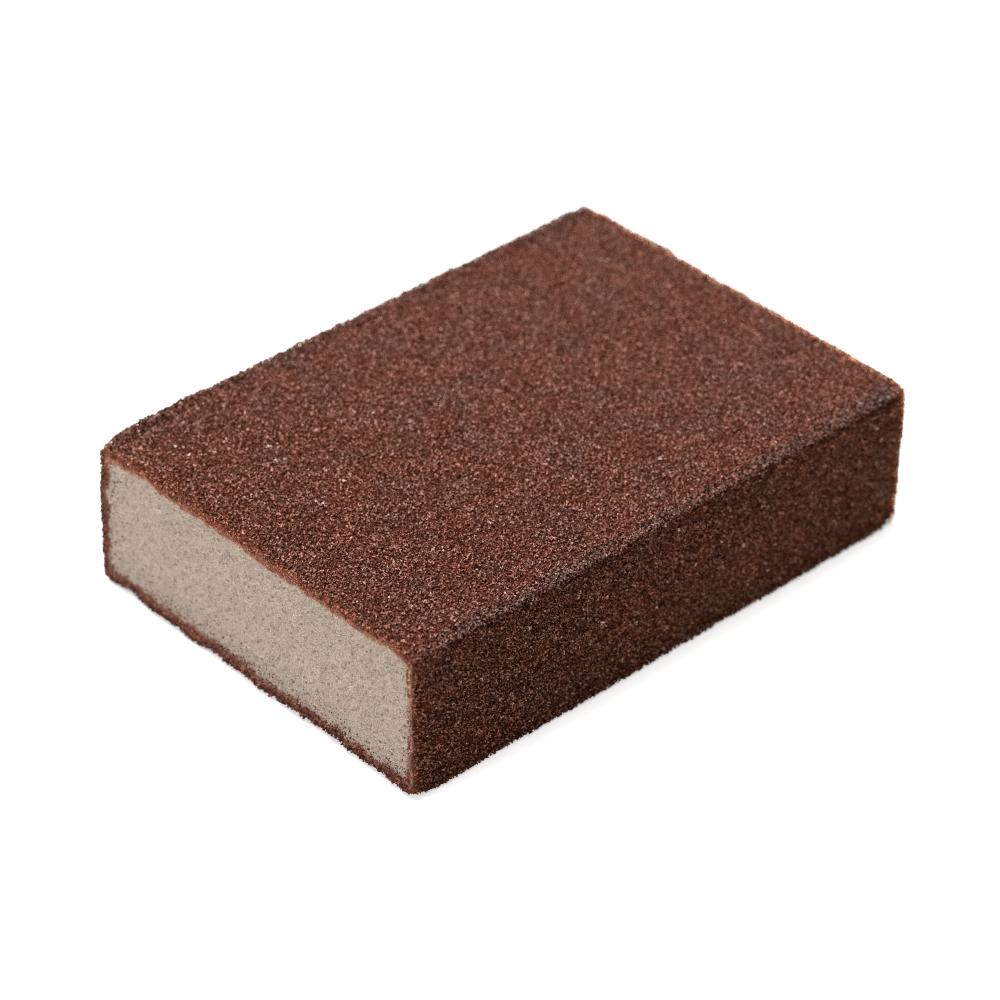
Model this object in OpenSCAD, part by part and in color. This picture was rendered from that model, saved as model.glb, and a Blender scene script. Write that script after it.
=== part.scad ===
// Four-sided sanding sponge: a soft foam core with a resin coat and an abrasive
// grit coat on each of its four long faces. The two short ends are bare cut foam.
// Origin: centre of the underside. +X runs along the length, +Z is up.
// Every piece is a constant section along X, cut square at both ends.

/* [Block] */
// Overall length between the two cut ends, mm
block_l = 100; // [40:1:300]
// Overall width across the two long sides, mm
block_w = 70; // [40:1:150]
// Overall height from underside to top face, mm
block_h = 25; // [14:0.5:60]

/* [Long edges] */
// Outside radius of the two upper long edges, mm
top_edge_r = 1.75; // [1.75:0.25:5]
// Outside radius of the two lower long edges, mm
bottom_edge_r = 2; // [1.75:0.25:5]

/* [Coats] */
// Thickness of the abrasive grit coat, mm
grit_t = 0.5; // [0.3:0.05:0.7]
// Thickness of the resin coat that glues the grit to the foam, mm
bond_t = 0.7; // [0.3:0.05:0.9]
// How far a side grit coat laps past the rounded edge onto the next face, mm
lap_w = 0.6; // [0.2:0.1:3]

/* [Hidden] */
// Segments of a displayed circle
$fn = 64;
// Depth of the foam surface under the finished face
coat_t = grit_t + bond_t;
// Half the finished width
half_w = block_w / 2;
// Half-width of the flat part of the top and bottom faces
top_flat = half_w - top_edge_r;
bottom_flat = half_w - bottom_edge_r;
// Clearance that carries a cutting shape past the piece it cuts
cut = 5;

foam_color = [0.80, 0.72, 0.60];
bond_color = [0.55, 0.25, 0.12];
grit_color = [0.40, 0.25, 0.20];
side_grit_color = [0.34, 0.22, 0.18];

// Section of the whole block with a layer of thickness d taken off all round.
// The edge arcs of every layer share the same centres.
module block_section(d) {
    union() {
        translate([-top_flat, block_h / 2])
            square([2 * top_flat, block_h / 2 - d]);
        translate([-bottom_flat, d])
            square([2 * bottom_flat, block_h / 2 - d]);
        translate([-half_w + d, bottom_edge_r])
            square([block_w - 2 * d, block_h - top_edge_r - bottom_edge_r]);
        for (side = [-1, 1]) {
            translate([side * top_flat, block_h - top_edge_r])
                circle(r = top_edge_r - d);
            translate([side * bottom_flat, bottom_edge_r])
                circle(r = bottom_edge_r - d);
        }
    }
}

// Ring between two depths under the finished surface
module coat_ring(outer, inner) {
    difference() {
        block_section(outer);
        block_section(inner);
    }
}

// Part of the section that belongs to the top coat, w to each side of the middle
module top_zone(w) {
    translate([-w, block_h / 2])
        square([2 * w, block_h / 2 + cut]);
}

// Part of the section that belongs to the bottom coat
module bottom_zone(w) {
    translate([-w, -cut])
        square([2 * w, block_h / 2 + cut]);
}

// Part of the section that belongs to the front side coat: all that the top and
// bottom coats leave, w_top and w_bottom being where those two end
module front_zone(w_top, w_bottom) {
    translate([-half_w - cut, block_h / 2])
        square([half_w + cut - w_top, block_h / 2 + cut]);
    translate([-half_w - cut, -cut])
        square([half_w + cut - w_bottom, block_h / 2 + cut]);
}

// Stands a section up in the YZ plane and runs it the whole length along X
module run_length() {
    rotate([90, 0, 90])
        linear_extrude(height = block_l, center = true)
            children();
}

// Soft foam body; its two ends are the visible bare ends
module foam_core() {
    color(foam_color)
        run_length()
            block_section(coat_t);
}

// Flat resin coat under the top grit, ending where the edge rounding starts
module top_bond_coat() {
    color(bond_color)
        run_length()
            intersection() {
                coat_ring(grit_t, coat_t);
                top_zone(top_flat);
            }
}

// Flat resin coat over the bottom grit
module bottom_bond_coat() {
    color(bond_color)
        run_length()
            intersection() {
                coat_ring(grit_t, coat_t);
                bottom_zone(bottom_flat);
            }
}

// Resin coat of a long side, wrapped round both of its edges
module front_bond_coat() {
    color(bond_color)
        run_length()
            intersection() {
                coat_ring(grit_t, coat_t);
                front_zone(top_flat, bottom_flat);
            }
}

module rear_bond_coat() {
    mirror([0, 1, 0])
        front_bond_coat();
}

// Abrasive coat of the top face, between the laps of the two side coats
module top_grit() {
    color(grit_color)
        run_length()
            intersection() {
                coat_ring(0, grit_t);
                top_zone(top_flat - lap_w);
            }
}

// Abrasive coat of the underside
module bottom_grit() {
    color(grit_color)
        run_length()
            intersection() {
                coat_ring(0, grit_t);
                bottom_zone(bottom_flat - lap_w);
            }
}

// Abrasive coat of a long side: it laps round both edges and lies on the resin
// coats of the top face and the underside
module front_grit() {
    color(side_grit_color)
        run_length()
            intersection() {
                coat_ring(0, grit_t);
                front_zone(top_flat - lap_w, bottom_flat - lap_w);
            }
}

module rear_grit() {
    mirror([0, 1, 0])
        front_grit();
}

foam_core();
top_bond_coat();
bottom_bond_coat();
front_bond_coat();
rear_bond_coat();
top_grit();
bottom_grit();
front_grit();
rear_grit();
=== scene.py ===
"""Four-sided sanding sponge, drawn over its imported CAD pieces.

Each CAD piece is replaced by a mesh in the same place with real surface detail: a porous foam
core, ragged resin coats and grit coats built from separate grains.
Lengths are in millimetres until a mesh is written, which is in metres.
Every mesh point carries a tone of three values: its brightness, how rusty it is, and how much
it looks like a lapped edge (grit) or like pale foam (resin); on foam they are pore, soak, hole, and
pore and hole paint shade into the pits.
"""
import math

import bpy
import numpy as np
from mathutils import Matrix, Vector


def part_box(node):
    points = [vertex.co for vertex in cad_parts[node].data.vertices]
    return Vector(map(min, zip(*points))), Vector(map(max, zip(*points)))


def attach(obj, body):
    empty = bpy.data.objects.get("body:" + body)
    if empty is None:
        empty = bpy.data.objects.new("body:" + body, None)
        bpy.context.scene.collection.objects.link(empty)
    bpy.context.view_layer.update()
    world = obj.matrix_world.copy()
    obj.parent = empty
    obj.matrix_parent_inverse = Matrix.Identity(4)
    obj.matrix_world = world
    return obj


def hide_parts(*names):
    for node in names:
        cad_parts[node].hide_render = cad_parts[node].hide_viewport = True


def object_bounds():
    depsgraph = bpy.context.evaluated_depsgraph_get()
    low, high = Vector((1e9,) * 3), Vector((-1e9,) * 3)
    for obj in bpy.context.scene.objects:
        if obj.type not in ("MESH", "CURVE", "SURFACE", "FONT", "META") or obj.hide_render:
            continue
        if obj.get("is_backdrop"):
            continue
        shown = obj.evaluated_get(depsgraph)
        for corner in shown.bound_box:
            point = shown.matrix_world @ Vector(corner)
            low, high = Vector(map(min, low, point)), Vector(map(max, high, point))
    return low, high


MM = 0.001

# ---------------------------------------------------------------- frame sizes
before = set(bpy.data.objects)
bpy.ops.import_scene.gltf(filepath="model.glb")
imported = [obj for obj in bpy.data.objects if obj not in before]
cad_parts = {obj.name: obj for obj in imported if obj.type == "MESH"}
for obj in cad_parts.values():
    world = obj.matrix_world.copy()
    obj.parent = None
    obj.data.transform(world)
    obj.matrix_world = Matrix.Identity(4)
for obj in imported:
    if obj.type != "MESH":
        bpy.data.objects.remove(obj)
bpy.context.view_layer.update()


def node_box(node):
    """A CAD node's lowest and highest corners in millimetres."""
    low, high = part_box(node)
    return np.array(low) / MM, np.array(high) / MM


half_l = node_box("foam_core")[1][0]
half_w = node_box("rear_grit")[1][1]
height = node_box("top_grit")[1][2]
grit_t = height - node_box("top_bond_coat")[1][2]
bond_t = node_box("top_bond_coat")[1][2] - node_box("top_bond_coat")[0][2]
coat_t = grit_t + bond_t
top_lip = node_box("top_grit")[1][1]
bottom_lip = node_box("bottom_grit")[1][1]


# ---------------------------------------------------------------- noise
def fade(t):
    """Eases 0 to 1 with flat ends."""
    return t * t * (3 - 2 * t)


def noise2(a, b, seed, size=64):
    """Smooth seeded noise from -1 to 1, one cell per unit of a and b."""
    table = np.random.default_rng(seed).uniform(-1, 1, (size, size))
    ia, ib = np.floor(a).astype(int), np.floor(b).astype(int)
    fa, fb = fade(a - ia), fade(b - ib)
    ia, ib = ia % size, ib % size
    ja, jb = (ia + 1) % size, (ib + 1) % size
    low = table[ia, ib] * (1 - fa) + table[ja, ib] * fa
    high = table[ia, jb] * (1 - fa) + table[ja, jb] * fa
    return low * (1 - fb) + high * fb


def fractal2(a, b, seed, octaves=3):
    """Noise with finer octaves added, still about -1 to 1."""
    total, weight = 0, 0
    for k in range(octaves):
        share = 0.5**k
        total = total + share * noise2(a * 2**k + 17.3 * k, b * 2**k + 5.1 * k, seed + k)
        weight += share
    return total / weight


def cells2(a, b, seed, size=97):
    """Distances to the nearest and second nearest of one random point per unit cell."""
    rng = np.random.default_rng(seed)
    px, py = rng.random((size, size)), rng.random((size, size))
    ia, ib = np.floor(a).astype(int), np.floor(b).astype(int)
    near = np.full(np.shape(a), 9.0)
    second = near.copy()
    for da in (-1, 0, 1):
        for db in (-1, 0, 1):
            ca, cb = ia + da, ib + db
            d = np.hypot(ca + px[ca % size, cb % size] - a, cb + py[ca % size, cb % size] - b)
            second = np.minimum(second, np.maximum(near, d))
            near = np.minimum(near, d)
    return near, second


# ---------------------------------------------------------------- block shape
CORNER_PULL = 0.08
CORNER_DROOPS = (
    # end side, long side, drop, reach
    (-1, 1, 0.65, 4.5),
    (-1, 1, 1.45, 1.5),
    (-1, -1, 0.25, 3.0),
    (1, 1, 0.3, 3.0),
    (1, -1, 0.55, 2.2),
)


def smooth_step(x, low, high):
    """0 below low, 1 above high, eased between."""
    return fade(np.clip((x - low) / (high - low), 0, 1))


def warp(p):
    """The block's soft unevenness: wavy faces, lumpy laps, drooped corners and ragged cut ends."""
    x, y, z = p[:, 0], p[:, 1], p[:, 2]
    up = np.clip(z / height, 0, 1)
    side = np.clip(np.abs(y) / half_w, 0, 1.1) ** 4 * np.sign(y)
    end = np.clip(np.abs(x) / half_l, 0, 1.1) ** 8 * np.sign(x)
    # wavy faces, sides and ends
    dz = 0.16 * fractal2(x / 13, y / 13, 11) * up
    dy = 0.20 * fractal2(x / 11, z / 11 + 7 * np.sign(y), 13) * side
    dx = 0.22 * fractal2(y / 9 + 31 * np.sign(x), z / 9, 14) * end
    # lumpy laps along the long top edges
    near_top = smooth_step(z, height - 3.0, height)
    lump = fractal2(x / 2.6 + 3, y / 6, 12, 3)
    dz += 0.24 * lump * up * smooth_step(np.abs(y), half_w - 3.0, half_w - 0.5)
    dy += 0.20 * fractal2(x / 2.4 + 41, z / 5, 18, 3) * np.sign(y) * near_top
    # drooped top corners
    for end_side, long_side, drop, reach in CORNER_DROOPS:
        d2 = ((x - end_side * half_l) / reach) ** 2 + ((y - long_side * half_w) / reach) ** 2
        sag = drop * np.exp(-d2) * up**2
        dz -= sag
        dx -= CORNER_PULL * end_side * sag
        dy -= CORNER_PULL * long_side * sag
    # ragged cut ends, most of all at the underside
    near_end = np.exp(-(((np.abs(x) - half_l) / 2.2) ** 2))
    dy += 0.10 * np.sign(y) * near_end * noise2(z / 1.1, np.sign(x) + y / 5, 17)
    near_floor = smooth_step(-z, -3.5, 0)
    rag = fractal2(y / 4.5 + 19 * np.sign(x), y / 9, 15, 4)
    dz += near_end * near_floor * np.clip(0.35 + 0.75 * rag, 0, 1.1)
    dx += np.sign(x) * near_end * near_floor * 0.35 * fractal2(y / 3.3, y / 7 + 9, 16, 3)
    dz -= 0.55 * near_floor * smooth_step(np.abs(y), half_w - 2.5, half_w - 0.5) * (1 - near_end)
    # the line between resin and foam wanders at the cut ends
    tear = 0.765 * near_end * fractal2(y / 4.2 + 13 * np.sign(x), z / 4.2, 19, 4)
    dz += tear * (np.exp(-((height - coat_t - z) ** 2)) + np.exp(-((z - coat_t) ** 2)))
    dy += tear * np.exp(-((half_w - coat_t - np.abs(y)) ** 2))
    return np.column_stack([x + dx, y + dy, z + dz])


# ---------------------------------------------------------------- meshes
FLOOR_Z = -0.55
# Texture layout: units per millimetre along the faces and the cut ends, then the rows used.
CHART = 0.98 / 102
END_CHART = 0.98 / 72
CHART_EDGE = 0.01
SIDE_START = 5
END_ROWS = {"flat": (0.70, 0.78), "side": (0.40, 0.50), "foam": (0.02, 0.42)}
SPARE_ROW, SPARE_SPAN, SPARE_ROWS = 0.88, 0.10, 80
END_DEPTH = 1.2


def add_charts(mesh, layout, end_slope, ends_only):
    """Texture coordinates: coats unrolled flat, cut ends face on, hidden faces in a spare row."""
    loops, faces = len(mesh.loops), len(mesh.polygons)
    corner = np.empty(loops, np.int32)
    mesh.loops.foreach_get("vertex_index", corner)
    total = np.empty(faces, np.int32)
    mesh.polygons.foreach_get("loop_total", total)
    normal, centre = np.empty(faces * 3, np.float32), np.empty(faces * 3, np.float32)
    mesh.polygons.foreach_get("normal", normal)
    mesh.polygons.foreach_get("center", centre)
    co = np.empty(len(mesh.vertices) * 3, np.float32)
    mesh.vertices.foreach_get("co", co)
    face = np.repeat(np.arange(faces), total)
    normal = normal.reshape(-1, 3)[face]
    centre = centre.reshape(-1, 3)[face] / MM
    x, y, z = (co.reshape(-1, 3)[corner] / MM).T
    inward, top = half_w - np.abs(y), height - z
    if layout == "side":
        along, across = z, inward
        row = np.where(top < inward, height + inward - 2 * top,
                       np.where(z < inward, 2 * z - inward, z)) + SIDE_START
        deep = half_w - np.abs(centre[:, 1])
        out = np.where(height - centre[:, 2] < deep, normal[:, 2],
                       np.where(centre[:, 2] < deep, -normal[:, 2],
                                normal[:, 1] * np.sign(centre[:, 1])))
    else:
        along, across = y + half_w, z if layout == "foam" else np.minimum(z, top)
        row = y + half_w
        out = normal[:, 2] * np.sign(centre[:, 2] - height / 2)
    at_end = (np.abs(centre[:, 0]) > half_l - END_DEPTH) & (np.abs(normal[:, 0]) > end_slope)
    shown = (out > 0.05) & (not ends_only)
    u = CHART_EDGE + (x + half_l) * CHART
    v = np.where(shown, CHART_EDGE + row * CHART, SPARE_ROW + SPARE_SPAN * row / SPARE_ROWS)
    end_row = np.where(centre[:, 0] < 0, *END_ROWS[layout])
    u = np.where(at_end, CHART_EDGE + along * END_CHART, u)
    v = np.where(at_end, end_row + across * END_CHART, v)
    layer = mesh.uv_layers.new(name="OFBake")
    uv = np.clip(np.column_stack([u, v]), 0, 1).astype(np.float32)
    layer.data.foreach_set("uv", uv.ravel())


def write_mesh(name, parts, node, material, layout, end_slope=0.6, ends_only=False):
    """One piece made of closed parts, each a dict of verts, quads, tris, ngons and tone."""
    verts, sizes, corners, smooth, tones = [], [], [], [], []
    base = 0
    for part in parts:
        for faces, is_smooth in ((part.get("quads"), True), (part.get("tris"), False)):
            if faces is None or not len(faces):
                continue
            sizes.append(np.full(len(faces), faces.shape[1]))
            corners.append(faces.ravel() + base)
            smooth.append(np.full(len(faces), is_smooth))
        for ring in part.get("ngons", ()):
            sizes.append(np.array([len(ring)]))
            corners.append(np.asarray(ring) + base)
            smooth.append(np.array([False]))
        verts.append(part["verts"])
        tones.append(part["tone"])
        base += len(part["verts"])
    verts = np.vstack(verts)
    verts[:, 2] = np.maximum(verts[:, 2], FLOOR_Z)
    sizes, corners = np.concatenate(sizes), np.concatenate(corners)
    mesh = bpy.data.meshes.new(name)
    mesh.vertices.add(len(verts))
    mesh.vertices.foreach_set("co", (verts * MM).astype(np.float32).ravel())
    mesh.loops.add(len(corners))
    mesh.loops.foreach_set("vertex_index", corners.astype(np.int32))
    mesh.polygons.add(len(sizes))
    starts = np.concatenate([[0], np.cumsum(sizes)[:-1]])
    mesh.polygons.foreach_set("loop_start", starts.astype(np.int32))
    mesh.polygons.foreach_set("use_smooth", np.concatenate(smooth))
    mesh.update(calc_edges=True)
    mesh.validate()
    tone = mesh.attributes.new("tone", "FLOAT_COLOR", "POINT")
    rgba = np.column_stack([np.vstack(tones), np.ones(len(verts))])
    tone.data.foreach_set("color", rgba.astype(np.float32).ravel())
    add_charts(mesh, layout, end_slope, ends_only)
    mesh.materials.append(material)
    obj = bpy.data.objects.new(name, mesh)
    bpy.context.scene.collection.objects.link(obj)
    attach(obj, "root")
    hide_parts(node)
    return obj


ARC_STEP = 0.3


def path_flat(y_from, y_to, z, up, step):
    """Stations across a flat face: position (y, z) and outward normal."""
    n = max(2, int(abs(y_to - y_from) / step) + 1)
    y = np.linspace(y_from, y_to, n)
    return np.column_stack([y, np.full(n, z)]), np.tile([0.0, up], (n, 1))


def path_arc(y, z, radius, from_angle, to_angle):
    """Stations round a quarter circle about (y, z): position and outward normal."""
    count = max(4, int(radius * math.pi / 2 / ARC_STEP))
    angle = np.radians(np.linspace(from_angle, to_angle, count + 1))
    unit = np.column_stack([np.cos(angle), np.sin(angle)])
    return np.array([y, z]) + radius * unit, unit


def path_side(top_end, bottom_end, step, radius):
    """Stations down the front side, from top_end over the upper edge to bottom_end below."""
    flat = half_w - radius
    lap, lap_up = path_flat(-top_end, -flat, height, 1.0, step)
    upper = path_arc(-flat, height - radius, radius, 90, 180)
    count = max(4, int((height - radius - radius) / step))
    z = np.linspace(height - radius, radius, count + 1)[1:-1]
    wall = np.column_stack([np.full(len(z), -half_w), z]), np.tile([-1.0, 0.0], (len(z), 1))
    lower = path_arc(-flat, radius, radius, 180, 270)
    under, under_down = path_flat(-flat, -bottom_end, 0.0, -1.0, step)
    pos, nrm = zip((lap[:-1], lap_up[:-1]), upper, wall, lower, (under[1:], under_down[1:]))
    return np.vstack(pos), np.vstack(nrm)


def path_length(pos):
    """Running length along a path of stations."""
    return np.concatenate([[0], np.cumsum(np.hypot(*np.diff(pos, axis=0).T))])


# BED_TONE keeps the grit coats' resin bed dark, partly painted shade in the gaps between grains.
BED_TONE, RESIN_TONE = 0.15, 0.45


def coat_shell(pos, nrm, x_outer, x_inner, depth_out, depth_in, wall_steps, seed, proud, scallop,
               foam_share=0):
    """A closed coat swept along a path, with ragged cut ends.

    A loop runs along the outer face, down one cut end, back along the inner face and up the
    other end. proud is how far the cut ends stand out at most, scallop how far the inner edge
    wanders into the foam there, foam_share how much paler its inner edge is made.
    """
    s = path_length(pos)
    wall = np.linspace(0, 1, wall_steps + 1)[1:-1]
    lx = np.concatenate([x_outer, np.full(len(wall), x_outer[-1]), x_inner[::-1],
                         np.full(len(wall), x_outer[0])])
    lt = np.concatenate([np.zeros(len(x_outer)), wall, np.ones(len(x_inner)), wall[::-1]])
    sg, xg = np.meshgrid(s, lx, indexing="ij")
    tg = np.tile(lt, (len(s), 1))
    at_end = smooth_step(np.abs(xg), half_l - 1.6, half_l)
    sign = np.sign(xg)
    cut = fractal2(sg / 0.9 + 40 * sign, tg * 3, seed, 3)
    wander = 0.5 + 0.5 * fractal2(sg / 1.1 + 23 * sign, sg / 3.1, seed + 5, 3)
    depth = depth_out + (depth_in - depth_out + scallop * wander * at_end) * tg
    depth = depth + (1 - tg) * 0.07 * fractal2(xg / 0.9, sg / 0.9, seed + 9, 3)
    x = xg + sign * at_end * proud * (0.55 + 0.45 * cut)
    p = pos[:, None, :] - nrm[:, None, :] * depth[..., None]
    verts = np.dstack([x, p[..., 0], p[..., 1]]).reshape(-1, 3)
    ns, nl = sg.shape
    i, j = np.meshgrid(np.arange(ns - 1), np.arange(nl), indexing="ij")
    k = (j + 1) % nl
    quads = np.stack([i * nl + j, i * nl + k, (i + 1) * nl + k, (i + 1) * nl + j], -1).reshape(-1, 4)
    ngons = [np.arange(nl)[::-1], (ns - 1) * nl + np.arange(nl)]
    rust = smooth_step(np.abs(xg), half_l - 1.4, half_l).ravel()
    body = RESIN_TONE if proud else BED_TONE
    tone = np.column_stack([np.full(ns * nl, body), rust, 0.3 * (1 + foam_share) * tg.ravel()])
    return {"verts": warp(verts), "quads": quads, "ngons": ngons, "tone": tone}


OCTA = np.array([[1, 0, 0], [-1, 0, 0], [0, 1, 0], [0, -1, 0], [0, 0, 1], [0, 0, -1]], float)
OCTA_TRIS = np.array([[0, 2, 4], [2, 1, 4], [1, 3, 4], [3, 0, 4],
                      [2, 0, 5], [1, 2, 5], [3, 1, 5], [0, 3, 5]])
TETRA = np.array([[1, 1, 1], [1, -1, -1], [-1, 1, -1], [-1, -1, 1]], float) * 0.75
TETRA_TRIS = np.array([[0, 1, 2], [0, 3, 1], [0, 2, 3], [1, 3, 2]])
WEDGE = np.array([[1, 0, 0], [-0.5, 0.87, 0], [-0.5, -0.87, 0], [0, 0, 1], [0, 0, -1]], float)
WEDGE_TRIS = np.array([[0, 1, 3], [1, 2, 3], [2, 0, 3], [1, 0, 4], [2, 1, 4], [0, 2, 4]])


def random_turns(n, rng):
    """n random rotation matrices."""
    q = rng.normal(size=(n, 4))
    q /= np.linalg.norm(q, axis=1)[:, None]
    w, x, y, z = q.T
    return np.stack([
        np.stack([1 - 2 * (y * y + z * z), 2 * (x * y - z * w), 2 * (x * z + y * w)], -1),
        np.stack([2 * (x * y + z * w), 1 - 2 * (x * x + z * z), 2 * (y * z - x * w)], -1),
        np.stack([2 * (x * z - y * w), 2 * (y * z + x * w), 1 - 2 * (x * x + y * y)], -1),
    ], 1)


def crystals(centres, radius, tone, rng):
    """Sharp closed grains, each with its own turn, stretch and colour."""
    parts = []
    kind = rng.random(len(centres))
    for shape, tris, low, high in ((TETRA, TETRA_TRIS, 0, 0.60), (WEDGE, WEDGE_TRIS, 0.60, 0.90),
                                   (OCTA, OCTA_TRIS, 0.90, 1)):
        chosen = (kind >= low) & (kind < high)
        n = int(chosen.sum())
        if not n:
            continue
        v = shape[None] * rng.uniform(0.75, 1.25, (n, len(shape), 1))
        v = v * rng.uniform(0.7, 1.25, (n, 1, 3))
        v = np.einsum("nij,nkj->nki", random_turns(n, rng), v)
        v = v * radius[chosen][:, None, None] + centres[chosen][:, None, :]
        faces = (tris[None] + np.arange(n)[:, None, None] * len(shape)).reshape(-1, 3)
        parts.append({
            "verts": v.reshape(-1, 3),
            "tris": faces,
            "tone": np.repeat(tone[chosen], len(shape), axis=0),
        })
    return parts


def scatter(pos, nrm, spacing, depth, depth_spread, radius, rng):
    """Grain centres over a coat, one per jittered cell, sunk to about depth."""
    s = path_length(pos)
    nx, ns = int(2 * half_l / spacing), int(s[-1] / spacing)
    gx, gs = np.meshgrid(np.arange(nx), np.arange(ns), indexing="ij")
    jitter = rng.uniform(-0.5, 0.5, (2, nx * ns))
    x = (gx.ravel() + 0.5 + jitter[0]) / nx * 2 * half_l - half_l
    t = (gs.ravel() + 0.5 + jitter[1]) / ns * s[-1]
    y = np.interp(t, s, pos[:, 0])
    z = np.interp(t, s, pos[:, 1])
    ny, nz = np.interp(t, s, nrm[:, 0]), np.interp(t, s, nrm[:, 1])
    size = radius * np.clip(np.exp(rng.normal(0, 0.24, len(x))), 0.6, 1.6)
    pit = 0.07 * fractal2(x / 0.9, t / 0.9, int(rng.integers(1000)), 2)
    d = depth + rng.normal(0, depth_spread, len(x)) - pit
    return np.column_stack([x, y - ny * d, z - nz * d]), size


# ---------------------------------------------------------------- foam core
FOAM_STEP = 0.205
FOAM_STATIONS = 9
PORE_SIZE, BIG_PORE_SIZE = 0.42, 1.7
BOND_R = coat_t + 0.1
CUT_R = 2.0


def round_corners(y, z, low_z, high_z, half_y, r):
    """Bends a rectangular grid so that its four corners become arcs of radius r."""
    y, z = y.copy(), z.copy()
    for at_z, sign_z in ((high_z, 1), (low_z, -1)):
        for sign_y in (-1, 1):
            a = (sign_y * y - (half_y - r)) / r
            b = (sign_z * (z - at_z) + r) / r
            inside = (a > 0) & (b > 0)
            aa, bb = a[inside], b[inside]
            y[inside] = sign_y * (half_y - r + r * aa * np.sqrt(1 - bb**2 / 2))
            z[inside] = at_z + sign_z * (r * bb * np.sqrt(1 - aa**2 / 2) - r)
    return y, z


def foam_soak(y, z, low_z, high_z, half_y, k):
    """How much resin has soaked into each point of cut face k, from 0 to 1."""
    soak = np.zeros(len(y))
    # distance from a rim, soak width there, place along the rim, noise seed
    for d, width, along, seed in ((high_z - z, 2.2, y, 50), (half_y + y, 1.0, z, 51),
                                  (half_y - y, 1.8, z, 52), (z - low_z, 3.0, y, 53)):
        reach = width * (0.27 + 0.42 * fractal2(along / 1.7 + 9 * k, d / 5, seed, 4))
        reach += 0.30 * noise2(y / 0.45, z / 0.45, seed + 7)
        soak = np.maximum(soak, 1 - smooth_step(d - reach, -0.17 * width, 0.22 * width))
    for d in (high_z - z, z - low_z):
        corner = CUT_R - np.hypot(np.maximum(CUT_R - half_y + np.abs(y), 0),
                                  np.maximum(CUT_R - d, 0))
        ragged = corner + 0.4 * noise2(y / 0.8, z / 0.8, 58) + smooth_step(d, 1.0, CUT_R)
        soak = np.maximum(soak, 1 - smooth_step(ragged, -0.1, 0.9))
    return soak


def foam_core(material):
    """Closed foam body: two porous cut ends joined by plain hidden sides."""
    half_y, low_z, high_z = half_w - coat_t, coat_t, height - coat_t
    ny, nz = int(2 * half_y / FOAM_STEP), int((high_z - low_z) / FOAM_STEP)
    gy, gz = np.meshgrid(np.linspace(-half_y, half_y, ny), np.linspace(low_z, high_z, nz),
                         indexing="ij")
    y, z = round_corners(gy, gz, low_z, high_z, half_y, BOND_R - coat_t)
    y, z = y.ravel(), z.ravel()
    edge = np.minimum(half_y - np.abs(y), np.minimum(high_z - z, z - low_z))
    i, j = np.meshgrid(np.arange(ny - 1), np.arange(nz - 1), indexing="ij")
    a = i * nz + j
    face = np.stack([a, a + nz, a + nz + 1, a + 1], -1).reshape(-1, 4)
    ring = np.concatenate([
        np.arange(ny) * nz,
        (ny - 1) * nz + np.arange(1, nz),
        np.arange(ny - 2, -1, -1) * nz + nz - 1,
        np.arange(nz - 2, 0, -1),
    ])
    verts, tones, quads = [], [], []
    for k, sign in enumerate((-1, 1)):
        near, second = cells2(y / PORE_SIZE, z / PORE_SIZE, 40 + k)
        pore = smooth_step(second - near, 0.08, 0.5)
        pore *= 0.65 + 0.35 * noise2(y / 0.7, z / 0.7, 42 + k)
        holes = cells2(y / BIG_PORE_SIZE, z / BIG_PORE_SIZE, 44 + k)[0]
        big = 1 - smooth_step(holes, 0.06, 0.17)
        inward = 0.20 * pore + 0.25 * big + 0.10 * fractal2(y / 5, z / 5, 46 + k)
        inward *= smooth_step(edge, 0, 0.4)
        verts.append(np.column_stack([sign * (half_l - inward), y, z]))
        soak = foam_soak(y, z, low_z, high_z, half_y, k)
        # The tone's pore and hole values darken the foam's pits in its colour: painted shade.
        tones.append(np.column_stack([np.clip(pore, 0, 1), soak, np.clip(big, 0, 1)]))
        quads.append((face if sign > 0 else face[:, ::-1]) + k * len(y))
    rings = [ring]
    base = 2 * len(y)
    for x in np.linspace(-half_l, half_l, FOAM_STATIONS)[1:-1]:
        verts.append(np.column_stack([np.full(len(ring), x), y[ring], z[ring]]))
        tones.append(np.zeros((len(ring), 3)))
        rings.append(base + np.arange(len(ring)))
        base += len(ring)
    rings.append(ring + len(y))
    for a, b in zip(rings[:-1], rings[1:]):
        quads.append(np.stack([a, np.roll(a, -1), np.roll(b, -1), b], -1)[:, ::-1])
    part = {"verts": warp(np.vstack(verts)), "quads": np.vstack(quads), "tone": np.vstack(tones)}
    return write_mesh("foam_block", [part], "foam_core", material, "foam", 0.2, True)


# ---------------------------------------------------------------- materials
def add(tree, kind, inputs=None, **settings):
    """A shader node; each input is a value or another node's output socket."""
    node = tree.nodes.new(kind)
    for key, value in settings.items():
        setattr(node, key, value)
    for key, value in (inputs or {}).items():
        if isinstance(value, bpy.types.NodeSocket):
            tree.links.new(value, node.inputs[key])
        else:
            node.inputs[key].default_value = value
    return node


def mix(tree, factor, a, b, blend="MIX"):
    """Colour mix of a and b."""
    node = add(tree, "ShaderNodeMix", data_type="RGBA", blend_type=blend)
    for socket, value in ((node.inputs[0], factor), (node.inputs[6], a), (node.inputs[7], b)):
        if isinstance(value, bpy.types.NodeSocket):
            tree.links.new(value, socket)
        else:
            socket.default_value = value
    return node.outputs[2]


def spread(tree, value, low, high, to_low=0.0, to_high=1.0):
    """Remaps a value, clamped."""
    node = add(tree, "ShaderNodeMapRange",
               {"Value": value, "From Min": low, "From Max": high,
                "To Min": to_low, "To Max": to_high})
    return node.outputs["Result"]


def ramp(tree, value, stops):
    """Colour ramp through stops of (position, colour)."""
    node = add(tree, "ShaderNodeValToRGB", {"Fac": value})
    elements = node.color_ramp.elements
    while len(elements) < len(stops):
        elements.new(0.5)
    for element, (at, color) in zip(elements, stops):
        element.position = at
        element.color = (*color, 1)
    return node.outputs["Color"]


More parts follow.
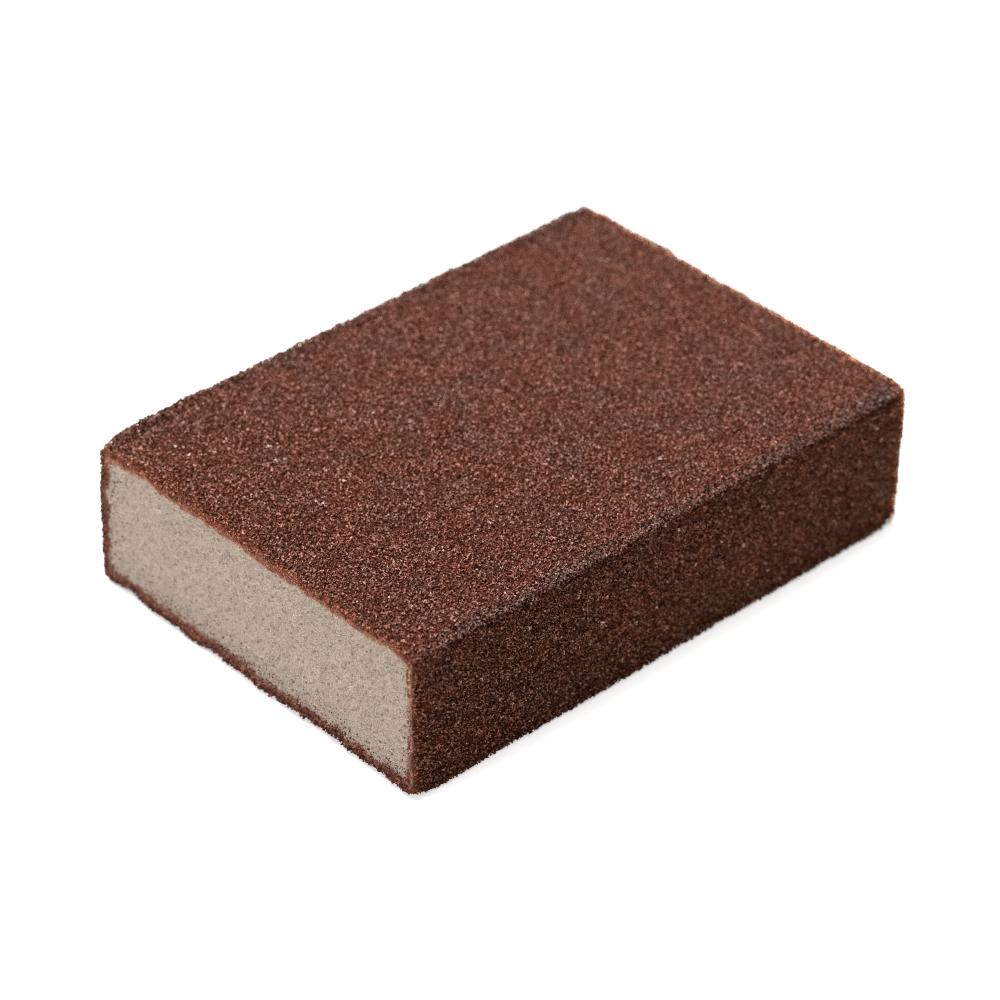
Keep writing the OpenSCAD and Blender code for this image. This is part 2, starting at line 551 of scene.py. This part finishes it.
def noise(tree, coords, scale, detail=2.0, rough=0.5):
    """Noise from 0 to 1; scale is in cells per millimetre."""
    node = add(tree, "ShaderNodeTexNoise",
               {"Vector": coords, "Scale": scale, "Detail": detail, "Roughness": rough})
    return node.outputs["Fac"]


def height_of(tree, coords):
    """Height above the underside."""
    return add(tree, "ShaderNodeSeparateXYZ", {"Vector": coords}).outputs["Z"]


def by_height(tree, coords, low, high):
    """Colour low in the lower half, turning to high near the top face."""
    return mix(tree, spread(tree, height_of(tree, coords), 12.0, 22.5), low, high)


def start_material(name):
    """A material, its tree, coordinates in millimetres and the three tone channels."""
    material = bpy.data.materials.new(name)
    material.use_nodes = True
    tree = material.node_tree
    tree.nodes.clear()
    place = add(tree, "ShaderNodeTexCoord").outputs["Object"]
    coords = add(tree, "ShaderNodeVectorMath", {0: place, "Scale": 1 / MM},
                 operation="SCALE").outputs[0]
    tone = add(tree, "ShaderNodeAttribute", attribute_name="tone").outputs["Color"]
    channels = add(tree, "ShaderNodeSeparateColor", {"Color": tone}).outputs
    return material, tree, coords, channels


def grey_of(tree, value):
    """A grey colour of the given brightness."""
    node = add(tree, "ShaderNodeCombineColor", {"Red": value, "Green": value, "Blue": value})
    return node.outputs["Color"]


def end_material(tree, color, roughness, bump_height, bump_mm, specular):
    """Principled shader with a bump of the given depth."""
    bump = add(tree, "ShaderNodeBump",
               {"Height": bump_height, "Strength": 1.0, "Distance": bump_mm * MM})
    shader = add(tree, "ShaderNodeBsdfPrincipled",
                 {"Base Color": color, "Roughness": roughness,
                  "Specular IOR Level": specular, "Normal": bump.outputs["Normal"]})
    add(tree, "ShaderNodeOutputMaterial", {"Surface": shader.outputs["BSDF"]})


# Ramps from a grain's tone to its colour; the facet ramps multiply it, painting small cells lit,
# shaded or glinting like crystal facets: painted light over random tone.
FACE_TONES = [(0.0, (0.037, 0.005, 0.001)), (0.30, (0.116, 0.032, 0.017)),
              (0.70, (0.295, 0.125, 0.086)), (1.0, (0.64, 0.45, 0.37))]
# SIDE_TONES is a darker copy of FACE_TONES for the same grit: partly painted shade, as the sides get
# less light.
SIDE_TONES = [(0.0, (0.018, 0.002, 0.001)), (0.30, (0.086, 0.023, 0.010)),
              (0.70, (0.235, 0.096, 0.056)), (1.0, (0.53, 0.36, 0.28))]
# The top stop's bright orange is reached at the far end's rim: painted light of the cut edge
# catching the back light, over its rust.
RUST_AND_LIT_RIM_TONES = [(0.0, (0.10, 0.024, 0.011)), (0.50, (0.245, 0.072, 0.038)),
              (0.95, (0.90, 0.26, 0.042))]
FACE_FACET_LIGHT = [(0.0, (0.14, 0.05, 0.03)), (0.38, (0.72, 0.64, 0.60)),
               (0.76, (1.49, 1.74, 1.88)), (1.0, (2.88, 4.10, 5.00))]
SIDE_FACET_LIGHT = [(0.0, (0.05, 0.015, 0.008)), (0.40, (0.62, 0.53, 0.47)),
               (0.78, (1.60, 1.82, 1.96)), (1.0, (2.60, 3.50, 4.15))]
LAP_RED = (0.212, 0.086, 0.058, 1)
LAP_GREY = (0.166, 0.086, 0.070, 1)
FACET_SCALE = 5.4


def grit_material(name, stops, facet_light, patch_low, patch_high):
    """Resin-coated grains, each with its own tone and painted facet light and glints; patches drift
    from red to grey.
    """
    material, tree, coords, tone = start_material(name)
    color = ramp(tree, tone["Red"], stops)
    grain = spread(tree, tone["Red"], 0, 1, 0.3, 1.7)
    for tint, low, high in ((LAP_RED, 0.0, 0.5), (LAP_GREY, 0.5, 1.0)):
        lap = mix(tree, 1.0, tint, grey_of(tree, grain), "MULTIPLY")
        color = mix(tree, spread(tree, tone["Blue"], low, high), color, lap)
    patch = spread(tree, noise(tree, coords, 0.17, 3.0), 0.35, 0.65)
    color = mix(tree, 1.0, color, mix(tree, patch, patch_low, patch_high), "MULTIPLY")
    # Painted light: each small cell gets a brightness from dark brown to bluish white, standing in
    # for facets turned to or from the lamps and their glints; the rust gets it too.
    cell = add(tree, "ShaderNodeTexVoronoi", {"Vector": coords, "Scale": FACET_SCALE})
    facet = add(tree, "ShaderNodeSeparateColor", {"Color": cell.outputs["Color"]}).outputs["Red"]
    shade = ramp(tree, facet, facet_light)
    color = mix(tree, 1.0, color, shade, "MULTIPLY")
    rusty = mix(tree, 1.0, ramp(tree, tone["Red"], RUST_AND_LIT_RIM_TONES), shade, "MULTIPLY")
    color = mix(tree, spread(tree, tone["Green"], 0, 1, 0, 0.85), color, rusty)
    fine = noise(tree, coords, 6.5, 2.0, 0.7)
    roughness = spread(tree, fine, 0.3, 0.7, 0.42, 0.66)
    end_material(tree, color, roughness, fine, 0.20, 0.04)
    return material


def bond_material():
    """Resin soaked into the outer foam cells: rust, paler and creamier towards the foam."""
    material, tree, coords, tone = start_material("bond_resin_look")
    fine = noise(tree, coords, 4.0, 3.0, 0.7)
    color = ramp(tree, tone["Red"], [(0.0, (0.035, 0.011, 0.006)), (0.30, (0.095, 0.028, 0.016)),
                                     (0.55, (0.250, 0.070, 0.040)), (1.0, (0.50, 0.21, 0.13))])
    shade = grey_of(tree, spread(tree, fine, 0.28, 0.72, 0.38, 1.62))
    color = mix(tree, 1.0, color, shade, "MULTIPLY")
    pale = by_height(tree, coords, (0.39, 0.24, 0.185, 1), (0.50, 0.28, 0.18, 1))
    pale = mix(tree, 1.0, pale, shade, "MULTIPLY")
    color = mix(tree, spread(tree, tone["Blue"], 0.35, 0.9, 0.0, 0.75), color, pale)
    cream = mix(tree, 1.0, (0.42, 0.345, 0.275, 1), shade, "MULTIPLY")
    color = mix(tree, spread(tree, tone["Blue"], 1.0, 1.4), color, cream)
    warm = by_height(tree, coords, (0.92, 0.82, 0.78, 1), (1.15, 1.07, 0.99, 1))
    color = mix(tree, 1.0, color, warm, "MULTIPLY")
    end_material(tree, color, spread(tree, fine, 0.3, 0.7, 0.6, 0.85), fine, 0.12, 0.25)
    return material


def foam_material():
    """Cream open-cell foam with rust resin soaked in at its rim."""
    material, tree, coords, tone = start_material("foam_look")
    cell = add(tree, "ShaderNodeTexVoronoi", {"Vector": coords, "Scale": 3.2},
               feature="DISTANCE_TO_EDGE").outputs["Distance"]
    wall = spread(tree, cell, 0.0, 0.22)
    fine = noise(tree, coords, 4.5, 3.0, 0.65)
    cloud = noise(tree, coords, 0.35, 2.0)
    color = ramp(tree, fine, [(0.30, (0.205, 0.150, 0.110)), (0.52, (0.487, 0.390, 0.312)),
                              (0.70, (0.685, 0.572, 0.476))])
    color = mix(tree, spread(tree, cloud, 0.4, 0.65, 0.0, 0.35), color, (0.415, 0.341, 0.275, 1))
    # Painted shade: the hollows of the foam cells, the mesh's pores and its big holes are coloured
    # darker.
    color = mix(tree, spread(tree, wall, 0, 1, 0, 0.30), color, (0.20, 0.155, 0.115, 1))
    color = mix(tree, spread(tree, tone["Red"], 0.3, 1.0, 0, 0.32), color, (0.20, 0.158, 0.121, 1))
    color = mix(tree, spread(tree, tone["Blue"], 0, 1, 0, 0.5), color, (0.13, 0.10, 0.075, 1))
    pale = ramp(tree, fine, [(0.30, (0.20, 0.105, 0.080)), (0.70, (0.48, 0.30, 0.23))])
    warm = by_height(tree, coords, (1.0, 1.0, 1.0, 1), (1.28, 1.10, 0.94, 1))
    pale = mix(tree, 1.0, pale, warm, "MULTIPLY")
    rust = ramp(tree, fine, [(0.30, (0.070, 0.023, 0.014)), (0.50, (0.21, 0.070, 0.042)),
                             (0.70, (0.34, 0.14, 0.092))])
    color = mix(tree, spread(tree, tone["Green"], 0.05, 0.45), color, pale)
    color = mix(tree, spread(tree, tone["Green"], 0.35, 0.95), color, rust)
    # Darker towards the bottom of the cut ends.
    darker_towards_bottom = grey_of(tree, spread(tree, height_of(tree, coords), 1.5, 8.0, 0.86, 1.0))
    color = mix(tree, 1.0, color, darker_towards_bottom, "MULTIPLY")
    height_map = add(tree, "ShaderNodeMath", {0: fine, 1: wall}, operation="SUBTRACT").outputs[0]
    end_material(tree, color, spread(tree, fine, 0.3, 0.7, 0.75, 0.95), height_map, 0.10, 0.2)
    return material


# ---------------------------------------------------------------- pieces
# Spacing and radius of the grains.
TOP_GRAINS, BOTTOM_GRAINS, SIDE_GRAINS = (0.44, 0.235), (0.47, 0.25), (0.42, 0.25)
GRAIN_SINK = 0.15
SHELL_STEP = 1.0
FLAT_BED, LAPPED_BED = 0.34, 0.28
SEEN_EDGE_R = 0.5
LAP_RISE, LAP_TUCK = 0.25, 0.3
BOND_STEP = 0.35
CRUMB_DENSITY, CRUMB_SIZE = 62, 0.14


def end_crumbs(path, reach, proud, dark_share, foam_share, rng):
    """Torn resin and broken grains over a coat's cut ends, thinning out into the foam."""
    pos, nrm = path
    s = path_length(pos)
    n = int(s[-1] * CRUMB_DENSITY)
    parts = []
    for sign in (-1, 1):
        t = rng.uniform(0, s[-1], n)
        wander = 0.75 + 0.75 * fractal2(t / 1.6 + 31 * sign, t / 9, int(rng.integers(1000)), 4)
        wander = np.maximum(wander, 0.2)
        deep = rng.beta(1.0, 1.8, n)
        wander += 0.25 * np.exp(-((np.minimum(t, s[-1] - t) / 1.3) ** 2))
        d = 0.10 + reach * wander * deep
        y = np.interp(t, s, pos[:, 0]) - np.interp(t, s, nrm[:, 0]) * d
        z = np.interp(t, s, pos[:, 1]) - np.interp(t, s, nrm[:, 1]) * d
        x = sign * (half_l - 0.08 + (proud + 0.08) * rng.random(n) * (1 - deep))
        size = CRUMB_SIZE * np.exp(rng.normal(0, 0.3, n)) * (1 - 0.35 * deep)
        between = smooth_step(z, 1.5, 3.2) * smooth_step(height - z, 1.2, 2.2)
        foamy = 1 + foam_share * between
        dark = rng.random(n) < dark_share * (1.1 - deep)
        tone = np.where(dark, rng.uniform(0.0, 0.30, n), rng.normal(0.50, 0.22, n))
        parts += crystals(warp(np.column_stack([x, y, z])), size,
                          np.column_stack([np.clip(tone, 0, 1), np.ones(n), foamy * deep]), rng)
    return parts


def grain_tones(rng, x, z, lap, tone_spread, near_rim, far_rim):
    """Tone, rustiness and lap lightness for each grain; the rims are how far rust reaches in, and at
    the far end painted light on the cut edge too.
    """
    n = len(x)
    from_end = half_l - np.abs(x)
    far = x > 0
    rust_and_lit_rim = 1 - smooth_step(from_end, 0.1, np.where(far, far_rim, near_rim))
    clump = smooth_step(fractal2(x / 1.7, z / 1.3, 81, 3), -0.1, 0.45)
    # Painted shade: in clumps, grains in a band just under the lapped top edge are made darker,
    # where the lap shades them.
    shade_under_lap = smooth_step(z, height - 2.6, height - 1.4) * (1 - np.clip(2 * lap, 0, 1))
    tone = rng.normal(0.50, tone_spread, n) - 0.30 * shade_under_lap * clump
    # Painted shade: grains in the sides' lowest few millimetres are made darker, towards the floor.
    tone -= 0.06 * (1 - smooth_step(z, 1.0, 5.5))
    # Painted light: at the far end the rim grains are made much brighter, as if the cut edge caught
    # the back light; they are also rusty.
    tone = np.clip(tone + np.where(far, 0.45, 0.0) * rust_and_lit_rim, 0.02, 0.95)
    rust = rust_and_lit_rim * rng.uniform(np.where(far, 0.5, 0.2), 1.0, n)
    rust = np.maximum(rust, 0.3 * (1 - smooth_step(from_end, 0.5, 3.6)) * rng.random(n))
    return np.column_stack([tone, rust, lap * rng.uniform(0.8, 1.0, n)])


def coat_stations(step):
    """x stations of a coat: even along the middle, finer at the cut ends."""
    middle = np.linspace(-half_l + 1.5, half_l - 1.5, int(2 * half_l / step))
    ends = np.array([0.0, 0.25, 0.5, 0.8, 1.1])
    outer = np.concatenate([-half_l + ends, middle, (half_l - ends)[::-1]])
    inner = np.concatenate([-half_l + np.array([0, 0.7, 1.7, 6]), np.linspace(-38, 38, 8),
                            half_l - np.array([6, 1.7, 0.7, 0])])
    return outer, inner


def mirrored(pos, nrm):
    """The rear side's path, run the other way so that its faces still point outward."""
    flip = np.array([-1.0, 1.0])
    return (pos * flip)[::-1], (nrm * flip)[::-1]


def grit_coat(name, node, path, material, seed, grains, lapped=False, extras=()):
    """A grit coat: a resin bed full of separate grains, kept dark partly as painted shade in the
    gaps. A lapped one folds over the top.
    """
    rng = np.random.default_rng(seed)
    spacing, radius = grains
    pos, nrm = path
    outer, inner = coat_stations(SHELL_STEP)
    bed = LAPPED_BED if lapped else FLAT_BED
    parts = [coat_shell(pos, nrm, outer, inner, bed, grit_t, 2, seed, 0.0, 0.0)]
    centres, size = scatter(pos, nrm, spacing, GRAIN_SINK, 0.07, radius, rng)
    x = centres[:, 0]
    if lapped:
        lap = smooth_step(centres[:, 2], height - 1.3, height - 0.75)
        folded = smooth_step(np.abs(centres[:, 1]), top_lip + 0.1, top_lip + 1.2)
        blotch = 0.85 + 0.3 * fractal2(x / 2.3, x / 9, 82, 3)
        grey = np.where(centres[:, 1] < 0, 0.5, 0.1) * folded
        tint = lap * np.clip((0.5 + grey) * blotch, 0, 1)
        tones = grain_tones(rng, x, centres[:, 2], tint, 0.125, near_rim=0.6, far_rim=1.0)
        centres[:, 2] += LAP_RISE * lap
    else:
        tone_spread = 0.105 - 0.05 * smooth_step(x, -10, 45)
        middle = np.full(len(x), height / 2)
        tones = grain_tones(rng, x, middle, np.zeros(len(x)), tone_spread, near_rim=0.9, far_rim=1.2)
    parts += crystals(warp(centres), size, tones, rng)
    for centres, size, tone in extras:
        parts += crystals(warp(centres), size, tone, rng)
    return write_mesh(name, parts, node, material, "side" if lapped else "flat")


def bond_coat(name, node, path, material, seed, proud, scallop, reach, dark_share, foam_share):
    """A resin coat: a plain sheet under the grit with torn, crumbly cut ends."""
    rng = np.random.default_rng(seed)
    pos, nrm = path
    outer, inner = coat_stations(2.0)
    parts = [coat_shell(pos, nrm, outer, inner, grit_t, coat_t, 5, seed, -0.10, scallop,
                        foam_share)]
    parts += end_crumbs(path, reach, proud, dark_share, foam_share, rng)
    layout = "flat" if len(set(np.round(nrm[:, 1], 3))) == 1 else "side"
    return write_mesh(name, parts, node, material, layout, 0.0, True)


def end_specks(sign, rng, count, edge, start, scale):
    """Loose dark grains stuck to the foam of a cut end, near its lower, front or rear edge.

    They begin start away from the edge and thin out over scale.
    """
    away = start + rng.exponential(scale, count)
    if edge == "lower":
        y, z = half_w - 1.0 - 2 * (half_w - 1.0) * rng.random(count) ** 0.75, away
    else:
        y, z = (half_w - away) * (1 if edge == "rear" else -1), rng.uniform(1.0, height - 1.5, count)
    keep = away < 8
    y, z = y[keep], z[keep]
    centres = np.column_stack([np.full(len(y), sign * (half_l - 0.02)), y, z])
    size = rng.uniform(0.06, 0.15, len(y))
    tone = np.column_stack([rng.uniform(0.0, 0.4, len(y)), rng.uniform(0, 0.5, len(y)),
                            np.zeros(len(y))])
    return centres, size, tone


face_look = grit_material("face_grit_look", FACE_TONES, FACE_FACET_LIGHT,
                          (1.08, 0.95, 0.91, 1), (0.94, 1.00, 1.04, 1))
# The sides' grit is darker than the faces' partly as painted shade.
side_look = grit_material("side_grit_look", SIDE_TONES, SIDE_FACET_LIGHT,
                          (1.08, 0.94, 0.88, 1), (0.94, 1.00, 1.02, 1))
bond_look = bond_material()

foam_core(foam_material())

top_path = path_flat(-top_lip - LAP_TUCK, top_lip + LAP_TUCK, height, 1.0, SHELL_STEP)
bottom_path = tuple(a[::-1] for a in path_flat(-bottom_lip - LAP_TUCK, bottom_lip + LAP_TUCK,
                                               0.0, -1.0, SHELL_STEP))
front_path = path_side(top_lip, bottom_lip, SHELL_STEP, SEEN_EDGE_R)
rear_path = mirrored(*front_path)
speck_rng = np.random.default_rng(91)
lower_specks = [end_specks(sign, speck_rng, count, "lower", start, scale)
                for sign in (-1, 1) for count, start, scale in ((1300, 1.1, 1.0), (400, 1.5, 2.2))]
side_specks = {edge: [end_specks(sign, speck_rng, count, edge, 0.6, scale) for sign in (-1, 1)]
               for edge, count, scale in (("front", 170, 0.9), ("rear", 550, 1.1))}

grit_coat("top_grit_coat", "top_grit", top_path, face_look, 61, TOP_GRAINS)
grit_coat("bottom_grit_coat", "bottom_grit", bottom_path, face_look, 62, BOTTOM_GRAINS,
          extras=lower_specks)
grit_coat("front_grit_coat", "front_grit", front_path, side_look, 63, SIDE_GRAINS,
          lapped=True, extras=side_specks["front"])
grit_coat("rear_grit_coat", "rear_grit", rear_path, side_look, 64, SIDE_GRAINS,
          lapped=True, extras=side_specks["rear"])

bond_edge = half_w - BOND_R
bond_top = path_flat(-bond_edge, bond_edge, height, 1.0, BOND_STEP)
bond_bottom = tuple(a[::-1] for a in path_flat(-bond_edge, bond_edge, 0.0, -1.0, BOND_STEP))
bond_front = path_side(bond_edge + 1e-3, bond_edge + 1e-3, BOND_STEP, BOND_R)
for name, node, path, seed, proud, scallop, reach, dark_share, foam_share in (
    ("top_resin_coat", "top_bond_coat", bond_top, 71, 0.25, 0.3, 2.2, 0.36, 0),
    ("bottom_resin_coat", "bottom_bond_coat", bond_bottom, 72, 0.35, 0.6, 3.6, 0.65, 0),
    ("front_resin_coat", "front_bond_coat", bond_front, 73, 0.20, 0.5, 1.8, 0.75, 1),
    ("rear_resin_coat", "rear_bond_coat", mirrored(*bond_front), 74, 0.25, 0.2, 2.4, 0.75, 0),
):
    bond_coat(name, node, path, bond_look, seed, proud, scallop, reach, dark_share, foam_share)

# ---------------------------------------------------------------- bounds of the pieces
new_low, new_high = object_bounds()

# ---------------------------------------------------------------- floor, light, camera
FLOOR_HALF = 3.0
FLOOR_GLOW = 0.45
WORLD_LIGHT = 0.42
LIGHT_AIM = (0, 0, 0.01)


def floor(z):
    """A wide plain pale floor at height z, lit evenly to the camera."""
    mesh = bpy.data.meshes.new("floor")
    h = FLOOR_HALF
    mesh.from_pydata([(-h, -h, z), (h, -h, z), (h, h, z), (-h, h, z)], [], [(0, 1, 2, 3)])
    material = bpy.data.materials.new("floor_look")
    material.use_nodes = True
    shader = material.node_tree.nodes["Principled BSDF"]
    shader.inputs["Base Color"].default_value = (0.92, 0.92, 0.915, 1)
    shader.inputs["Roughness"].default_value = 0.9
    shader.inputs["Specular IOR Level"].default_value = 0.1
    seen = add(material.node_tree, "ShaderNodeLightPath").outputs["Is Camera Ray"]
    glow = spread(material.node_tree, seen, 0, 1, 0, FLOOR_GLOW)
    shader.inputs["Emission Color"].default_value = (1, 1, 1, 1)
    material.node_tree.links.new(glow, shader.inputs["Emission Strength"])
    mesh.materials.append(material)
    obj = bpy.data.objects.new("floor", mesh)
    bpy.context.scene.collection.objects.link(obj)
    obj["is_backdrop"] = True


def softbox(name, at, size, power):
    """A square area light facing the block."""
    data = bpy.data.lights.new(name, "AREA")
    data.size = size
    data.energy = power
    obj = bpy.data.objects.new(name, data)
    obj.location = at
    direction = np.array(LIGHT_AIM) - np.array(at)
    obj.rotation_euler = Vector(direction).to_track_quat("-Z", "Y").to_euler()
    bpy.context.scene.collection.objects.link(obj)


def studio_world():
    """White surroundings, dimmer as a light than they look to the camera."""
    world = bpy.data.worlds.new("studio")
    world.use_nodes = True
    tree = world.node_tree
    background = tree.nodes["Background"]
    background.inputs["Color"].default_value = (1, 1, 1, 1)
    seen = add(tree, "ShaderNodeLightPath").outputs["Is Camera Ray"]
    tree.links.new(spread(tree, seen, 0, 1, WORLD_LIGHT, 1.0), background.inputs["Strength"])
    bpy.context.scene.world = world


floor(min(new_low[2], 0.0))
softbox("key", (-0.12, 0.22, 0.90), 0.60, 12.4)
softbox("end_fill", (-0.9, -0.10, 0.35), 0.5, 4.0)
softbox("far_end_fill", (0.9, 0.10, 0.35), 0.5, 2.5)
studio_world()

CAMERA_AZ, CAMERA_EL, CAMERA_ROLL = -43.751, 35.985, 1.249
CAMERA_AIM = np.array([-3.934, -2.949, 12.487])
CAMERA_DISTANCE = 626.45
CAMERA_LENS = 149.96
FOCUS_AHEAD = 38.0
FOCUS_STOP = 19.5


def camera():
    """The camera at the photo's angle, with the block's near part in focus."""
    az, el, roll = (math.radians(v) for v in (CAMERA_AZ, CAMERA_EL, CAMERA_ROLL))
    back = np.array([math.sin(az) * math.cos(el), -math.cos(az) * math.cos(el), math.sin(el)])
    right = np.cross(-back, [0, 0, 1])
    right /= np.linalg.norm(right)
    up = np.cross(right, -back)
    across = right * math.cos(roll) + up * math.sin(roll)
    above = -right * math.sin(roll) + up * math.cos(roll)
    eye = (CAMERA_AIM + back * CAMERA_DISTANCE) * MM
    data = bpy.data.cameras.new("camera")
    data.lens, data.sensor_width = CAMERA_LENS, 36.0
    data.clip_start, data.clip_end = 0.01, 20
    obj = bpy.data.objects.new("camera", data)
    turn = np.eye(4)
    turn[:3, 0], turn[:3, 1], turn[:3, 2], turn[:3, 3] = across, above, back, eye
    obj.matrix_world = Matrix(turn.tolist())
    bpy.context.scene.collection.objects.link(obj)
    bpy.context.scene.camera = obj
    # The focus point stays FOCUS_AHEAD of the block's middle, towards wherever the camera is.
    middle = bpy.data.objects.new("focus_middle", None)
    middle.location = (0, 0, height / 2 * MM)
    focus = bpy.data.objects.new("focus", None)
    for empty in (middle, focus):
        bpy.context.scene.collection.objects.link(empty)
    follow = focus.constraints.new("COPY_LOCATION")
    follow.target = obj
    hold = focus.constraints.new("LIMIT_DISTANCE")
    hold.target, hold.distance, hold.limit_mode = middle, FOCUS_AHEAD * MM, "LIMITDIST_INSIDE"
    data.dof.use_dof = True
    data.dof.focus_object = focus
    data.dof.aperture_fstop = FOCUS_STOP


camera()
bpy.context.scene.view_settings.view_transform = "Standard"
bpy.context.scene.cycles.filter_width = 1.0
bpy.context.scene.cycles.use_denoising = True
bpy.context.scene.cycles.denoising_prefilter = "NONE"
